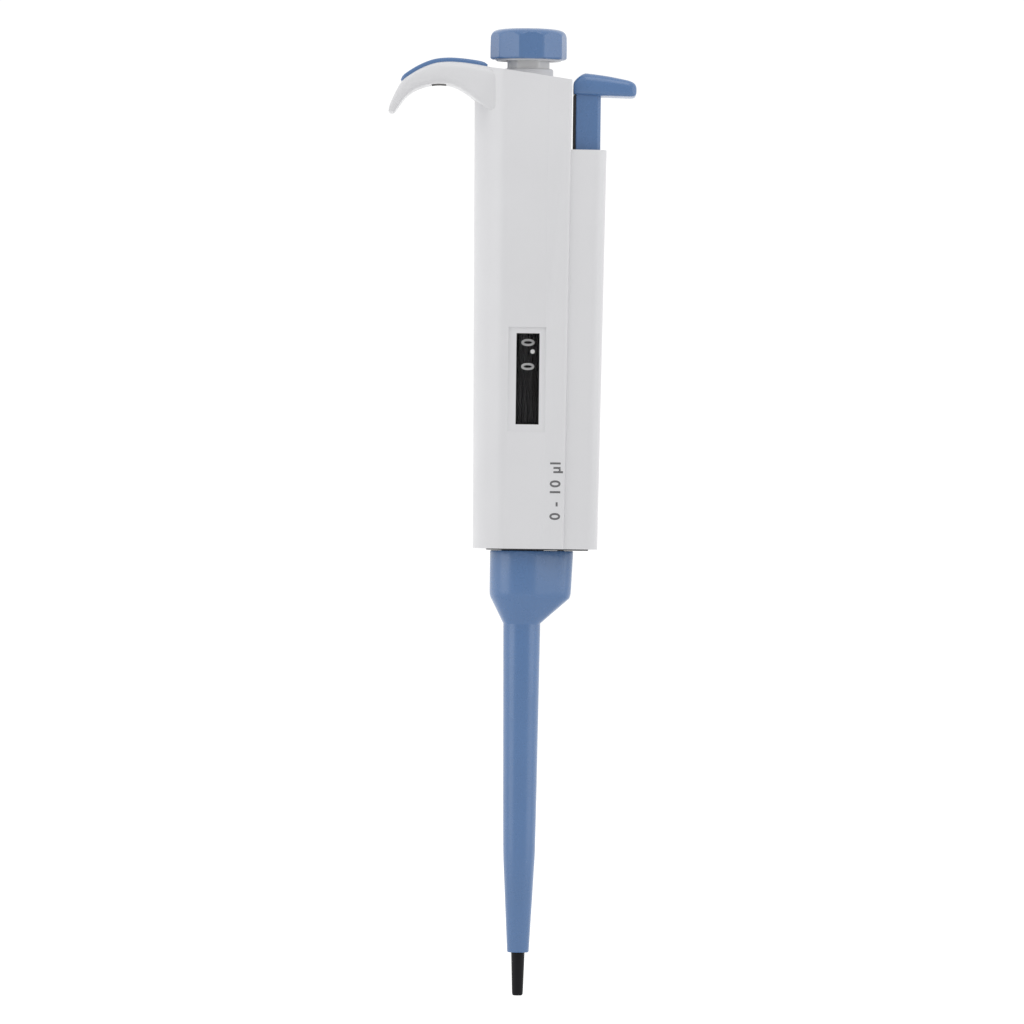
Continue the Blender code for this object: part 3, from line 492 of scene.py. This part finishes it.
def make_cover():
    """The ejector's channel, closed at its top by a lip round the stem."""
    outer, inner = cover_line(), cover_line(1.0)
    outline = outer + [(x, -y) for x, y in reversed(outer)] + [(x, -y) for x, y in inner] + inner[::-1]
    cover = lofted("channel_cover", [scaled(outline, z) for z in (BOTTOM, COVER_TOP)])
    lip = prism("lip", [(x * 0.985, y * 0.985) for x, y in mirrored(cover_line(0.3)[::-1])],
                COVER_TOP - 1.3, COVER_TOP - 0.15)
    join(cover, lip)
    reach = STEM_HALF + STEM_GAP
    opening = prism("opening", filleted(rectangle(9, STEM_BACK + STEM_GAP, -reach, reach), 0.6),
                    COVER_TOP - 4, COVER_TOP + 1)
    clearance = prism("clearance", rectangle(6, COLUMN_BACK - 0.3, -14, 14), COVER_TOP - 4, COVER_TOP + 1)
    cut(cover, opening, clearance)
    return finish(softened(cover, 0.25), "handle", "white", "white", "rear_cover")


def make_foot():
    """The black plate under the handle, its spigot and its threaded stud."""
    nose = arc((0.5, 0.0), 9.6, 110, 180, 16)
    plate = prism("foot_plate", mirrored([(16.2, 5.0), (14.7, 7.4), *nose]), 110.35, 111.8)
    inner_line = scaled(column_line(COLUMN_WALL + 0.25), 114)
    spigot = prism("spigot", [(x, y) for x, y, _ in inner_line], 111.4, 115.5)
    join(plate, spigot)
    stud = turned("stud", [(3.4, 102.6), (5.2, 102.6), (5.2, 113), (3.4, 113)])
    join(plate, stud)
    slot = prism("slot", rectangle(8.3, 10.5, -2.3, 2.3), 105, 118)
    cut(plate, slot)
    return finish(softened(plate, 0.15), "handle", "black", "black", "base_plug")


def make_bush():
    profile = [(5.36, 223.3), (6.2, 223.3), (6.2, 229.0), (6.12, 229.35), (5.9, 229.5), (5.5, 229.5),
               (5.36, 229.35)]
    return finish(smooth(turned("neck_bush", profile)), "handle", "white", "white", "top_bush")


def make_pane():
    """The clear pane: a rounded window on a wider flange."""
    half = WINDOW_HALF - PANE_GAP
    pane = prism("window_pane", rectangle(WINDOW_X - half, WINDOW_X + half, -11.0, -9.4),
                 WINDOW_LOW + PANE_GAP, WINDOW_HIGH - PANE_GAP)
    flange = prism("flange", rectangle(WINDOW_X - half - 1, WINDOW_X + half + 1, -9.7, -9.15),
                   WINDOW_LOW - 0.9, WINDOW_HIGH + 0.8)
    return finish(softened(join(pane, flange), 0.12), "handle", "clear", "clear", "window_lens")


# ---------------------------------------------------------------- counter

def make_drum(name, z, body, node):
    """A number drum: upright ribs from rim to rim."""
    ribs, steps, depth = 44, 6, 0.3
    half = BAND / 2 - 0.005
    loops = []
    angles = [360 * k / (ribs * steps) for k in range(ribs * steps)]
    for height in (-half, half):
        loops.append([(*polar(DRUM_RADIUS - depth * (k % steps in (3, 4)), a), z + height)
                      for k, a in enumerate(angles)])
    for height in (half, -half):
        loops.append([(*polar(DRUM_BORE, a), z + height) for a in angles])
    return finish(smooth(lofted(name, loops, True), 20), body, "drum", "black", node)


def text_points(text, weight=0.0, spacing=1.0):
    """The flat mesh of a text as (points, faces), in the text's own units, centred."""
    curve = bpy.data.curves.new("text", "FONT")
    curve.body = text
    curve.offset = weight
    curve.space_character = spacing
    curve.align_x = "CENTER"
    curve.align_y = "CENTER"
    curve.resolution_u = 6
    holder = bpy.data.objects.new("text", curve)
    bpy.context.collection.objects.link(holder)
    graph = bpy.context.evaluated_depsgraph_get()
    mesh = bpy.data.meshes.new_from_object(holder.evaluated_get(graph))
    points = [tuple(v.co)[:2] for v in mesh.vertices]
    faces = [tuple(p.vertices) for p in mesh.polygons]
    bpy.data.objects.remove(holder, do_unlink=True)
    middle = [(min(p[i] for p in points) + max(p[i] for p in points)) / 2 for i in (0, 1)]
    return [(a - middle[0], b - middle[1]) for a, b in points], faces


def print_on(name, texts, place, weight, spacing=1.0):
    """One mesh of several texts; place(index, along, up) gives a printed point's position."""
    points, faces = [], []
    for index, text in enumerate(texts):
        flat, tiles = text_points(text, weight, spacing) if text else ([], [])
        start = len(points)
        points += [place(index, a, b) for a, b in flat]
        faces += [tuple(start + i for i in tile) for tile in tiles]
    return new_object(name, points, faces)


def make_digits(name, z, body, texts):
    """Digits that read up the handle, one every 36 degrees round a drum."""
    weight = 0.028
    zero = text_points("0", weight)[0]
    tall, wide = (max(p[i] for p in zero) - min(p[i] for p in zero) for i in (1, 0))

    def place(index, along, up):
        lift = up / tall * DIGIT_TALL / DRUM_RADIUS
        angle = DIGIT_ANGLE - 36 * index - math.degrees(lift)
        return (*polar(DRUM_RADIUS + PRINT_LIFT, angle), z + along / wide * DIGIT_WIDE)

    return finish(print_on(name, texts, place, weight), body, "digit", "black")


def make_counter():
    digits = [str(k) for k in range(10)]
    ones_z, tens_z, spacer_z = TENTHS_Z - BAND, TENTHS_Z - 2 * BAND, TENTHS_Z - 3 * BAND
    make_drum("tenths_drum", TENTHS_Z, "drive", "tenths_wheel")
    make_drum("ones_drum", ones_z, "ones_counter", "ones_wheel")
    make_drum("tens_drum", tens_z, "tens_counter", "tens_wheel")
    make_drum("spacer_drum", spacer_z, "handle", "counter_spacer")
    make_digits("tenths_digits", TENTHS_Z, "drive", digits)
    make_digits("ones_digits", ones_z, "ones_counter", digits)
    make_digits("tens_digits", tens_z, "tens_counter", ["", "1"])
    circle = arc((0, 0), POINT_RADIUS, 0, 348.75, 32)
    dot = lofted("decimal_point", [[(POINT_X + a, y, POINT_Z + b) for a, b in circle]
                                   for y in (-9.08, -9.14)])
    finish(dot, "handle", "point", "white")


def make_label():
    """The volume range, printed up the right-hand face of the handle's front."""
    scale = 2.5 / 0.7

    def place(_, along, up):
        x, z = LABEL_X - up * scale, LABEL_Z + along * scale
        k = narrowing(z)
        fall = SIDE_DROP * (x / k - SIDE_BREAK) / (COLUMN_BACK - SIDE_BREAK)
        return x, -(COLUMN_SIDE - fall) * k - 0.02, z

    finish(print_on("range_label", ["0 - 10 µl"], place, 0.022, 1.15), "handle", "label", "grey")


# ---------------------------------------------------------------- plunger

def sided_ring(radius, z, flat):
    """A ring that is round but no further out than the flats of the knob's sides."""
    step = 360 / KNOB_SIDES
    first = KNOB_TURN - 90 - step / 2
    ring = []
    for k in range(KNOB_SIDES * 12):
        angle = first + (k + 0.5) * step / 12
        side = flat / math.cos(math.radians((angle - first) % step - step / 2))
        ring.append((*polar(min(radius, side), angle), z))
    return ring


def make_knob():
    """The ten-sided cap: arched facets under a rounded rim, a domed crown and a hollow underside."""
    flat = KNOB_RADIUS * math.cos(math.pi / KNOB_SIDES)
    low, top = KNOB_LOW, KNOB_TOP
    hollow = ((0.4, low + 4.7), (7.2, low + 4.7), (8.3, low + 3.9), (8.3, low + 0.2))
    loops = [sided_ring(r, z, 20) for r, z in hollow]
    loops.append(sided_ring(8.45, low, 8.5))
    loops += [sided_ring(r, z, f) for r, z, f in ((8.9, low, flat - 0.25), (9.3, low + 0.15, flat - 0.08),
                                                  (9.5, low + 0.45, flat), (9.5, low + 3.0, flat))]
    crown = [(9.5, low + 3.0), (9.5, low + 4.6), (9.45, low + 5.4), (9.27, low + 6.1), (8.9, low + 6.7),
             (8.25, low + 7.15), (7.2, low + 7.45), (5.6, low + 7.62), (3.2, low + 7.75), (0.2, top)]
    loops += [sided_ring(r, z, flat - 0.02 * (z - low - 3.0)) for r, z in smoothed(crown, 40)[1:]]
    return finish(smooth(lofted("knob_cap", loops), 13), "plunger", "blue", "blue", "plunger_knob")


def make_knob_ring():
    low = KNOB_LOW - 0.4
    profile = [(5.38, low + 1.1), (6.4, low + 0.7), (6.9, low + 0.1), (7.2, low), (7.8, low),
               (8.02, low + 0.1), (8.1, low + 0.35), (8.1, KNOB_LOW + 3.3), (7.2, KNOB_LOW + 4.3),
               (1.62, KNOB_LOW + 4.3), (1.62, KNOB_LOW + 2.5), (5.38, KNOB_LOW + 2.5)]
    return finish(smooth(turned("knob_ring", profile)), "plunger", "white", "white", "knob_insert")


def hex_line(corner, rounding):
    return filleted([polar(corner, 60 * k) for k in range(6)], rounding, 8)


def make_neck():
    """The six-sided stem, from the knob down through the handle, with its flange and its drive end."""
    wide, narrow = hex_line(NECK_CORNER, 1.2), hex_line(DRIVE_CORNER, 0.8)
    count = len(wide)
    start = math.degrees(math.atan2(wide[0][1], wide[0][0]))
    flange = [polar(6.4, start + 360 * k / count) for k in range(count)]
    bore = [polar(1.6, start + 360 * k / count) for k in range(count)]
    levels = [(narrow, 148.0), (narrow, 177.4), (flange, 177.4), (flange, 180.7), (wide, 180.7),
              (wide, 234.7), (bore, 234.7), (bore, 148.0)]
    neck = lofted("neck_stem", [[(x, y, z) for x, y in line] for line, z in levels], True)
    # the neck's colour carries painted light against the knob's shade
    return finish(smooth(neck, 30), "plunger", "neck", "grey", "knob_stem")


# ---------------------------------------------------------------- liquid end

def collar_reach(angle, inset, z):
    """How far the collar reaches at that angle: round a large circle and a small one behind it."""
    big, small = COLLAR_RADIUS - inset, TAIL_RADIUS - inset
    gap = TAIL_X - COLLAR_LEAN * (COLLAR_HIGH - max(z, COLLAR_LOW)) / (COLLAR_HIGH - COLLAR_LOW)
    tangent = math.acos((big - small) / gap)
    turn = abs(math.radians((angle + 180) % 360 - 180))
    if turn >= tangent:
        return big
    if turn >= math.atan2(small * math.sin(tangent), gap + small * math.cos(tangent)):
        return big / math.cos(turn - tangent)
    return gap * math.cos(turn) + math.sqrt(small ** 2 - (gap * math.sin(turn)) ** 2)


def make_sleeve():
    """The blue collar, funnel and tapering tube in one, open at both ends."""
    count = 120
    angles = [360 * k / count for k in range(count)]

    def ring(radius, z):
        return [(*polar(radius, a), z) for a in angles]

    def collar(inset, z):
        return [(*polar(collar_reach(a, inset, z), a), z) for a in angles]

    def funnel(t):
        """A ring between the tube's top and the collar's foot."""
        z = FUNNEL_LOW + 0.35 + (COLLAR_LOW - FUNNEL_LOW - 0.75) * t
        return [(*polar(4.62 + (collar_reach(a, 0.3, z) - 4.62) * t, a), z) for a in angles]

    outside = [ring(2.45, SLEEVE_LOW), ring(2.6, SLEEVE_LOW + 0.08), ring(2.7, SLEEVE_LOW + 0.35),
               ring(3.88, SLEEVE_KINK - 1), ring(3.95, SLEEVE_KINK + 1), ring(4.07, SLEEVE_KINK + 8.7),
               ring(4.37, 73.0), ring(4.58, FUNNEL_LOW - 0.1), ring(4.55, FUNNEL_LOW),
               *[funnel(k / 8) for k in range(9)],
               collar(0.12, COLLAR_LOW + 0.1), collar(0.03, COLLAR_LOW + 0.6), collar(0.0, COLLAR_LOW + 1.4),
               collar(0.0, COLLAR_HIGH - 0.3), collar(0.08, COLLAR_HIGH - 0.08), collar(0.3, COLLAR_HIGH)]
    inside = [collar(1.1, COLLAR_HIGH), collar(1.2, COLLAR_HIGH - 0.2), collar(1.2, COLLAR_LOW + 0.4),
              ring(3.6, FUNNEL_LOW + 1), ring(3.15, SLEEVE_KINK), ring(1.98, SLEEVE_LOW + 2),
              ring(1.98, SLEEVE_LOW)]
    sleeve = lofted("sleeve_shell", outside + inside, True)
    return finish(smooth(sleeve, 28), "ejector", "blue", "blue", "ejector_sleeve")


def make_cone():
    """The black tip cone, with a rounded mouth."""
    outside = [(4.6, 102.2), (4.6, 100.1), (2.9, 100.1), (2.9, 88), (2.5, 36), (1.8, 15), (1.68, 10.7),
               (1.37, 0.8), (1.33, 0.45), (1.24, 0.2), (1.09, 0.05), (0.95, 0.0), (0.75, 0.0), (0.64, 0.12)]
    inside = [(0.64, 59.7), (2.05, 59.7), (2.05, 102.2)]
    return finish(smooth(turned("tip_cone", outside + inside)), "handle", "cone", "black", "nozzle")


# ---------------------------------------------------------------- ejector

# places along the pad: x, underside, top and half width
PAD = [(11.2, 223.7, 225.7, 6.2), (11.3, 223.35, 226.2, 6.7), (11.8, 223.15, 226.9, 7.1),
       (12.8, 223.05, 227.8, 7.35), (13.8, 223.0, 228.35, 7.45), (14.8, 222.95, 228.4, 7.5),
       (19.5, 222.85, 227.8, 7.5), (24.0, 222.75, 226.95, 7.4), (25.4, 222.75, 226.55, 7.25),
       (26.2, 222.85, 226.1, 6.9), (26.6, 223.15, 225.6, 6.5), (26.8, 223.7, 224.9, 6.0)]


def make_ejector():
    """The thumb pad, crowned and soft at every edge, on a flat stem with bevelled sides."""
    loops = []
    for x, low, high, half in smoothed(PAD, 45):
        crown, edge = (high - low) * 0.62, (high - low) * 0.25
        section = filleted(rectangle(-half, half, low, high), [edge, edge, crown, crown], 9)
        loops.append([(x, y, z) for y, z in section])
    pad = lofted("ejector_pad", loops)
    stem_line = filleted(rectangle(STEM_FRONT, STEM_BACK, -STEM_HALF, STEM_HALF), [0.2, 0.75, 0.75, 0.2], 2)
    thin_line = [(STEM_FRONT + (x - STEM_FRONT) * 0.85, y * 0.96) for x, y in stem_line]
    levels = ((thin_line, STEM_END), (thin_line, STEM_WAIST),
              (stem_line, STEM_SHOULDER), (stem_line, STEM_TOP))
    stem = lofted("stem", [[(x, y, z) for x, y in line] for line, z in levels])
    join(pad, stem)
    return finish(smooth(pad, 30), "ejector", "blue", "blue", "ejector_button")


def make_slide():
    """A thin black strip on the stem's inner face, painted shade standing in for the shadowed gap between the
    column and the stem.
    """
    half = STEM_HALF - 0.4
    outline = filleted(rectangle(11.2, STEM_FRONT - 0.02, -half, half), [0.2, 0.02, 0.02, 0.2], 3)
    slide = softened(prism("stem_shadow_strip", outline, STEM_END + 5, 222.9), 0.06)
    return finish(slide, "ejector", "black", "black", "ejector_slide")


# ---------------------------------------------------------------- the rest

def dress_nodes():
    """Gives the CAD nodes that stay their finish, by the record's material slot."""
    slots = {part["node"]: part["material_slot"] for part in frame["record"]["subparts"]}
    for node, slot in slots.items():
        thing = bpy.data.objects.get(node)
        if thing and not thing.hide_render and thing.type == "MESH":
            for place in thing.material_slots:
                place.material = MATERIALS[slot]


make_stage()
MATERIALS = make_materials()
for make in (make_column, make_hook, make_inlay, make_cover, make_foot, make_bush, make_pane,
             make_counter, make_label, make_knob, make_knob_ring, make_neck, make_sleeve, make_cone,
             make_ejector, make_slide):
    make()
dress_nodes()
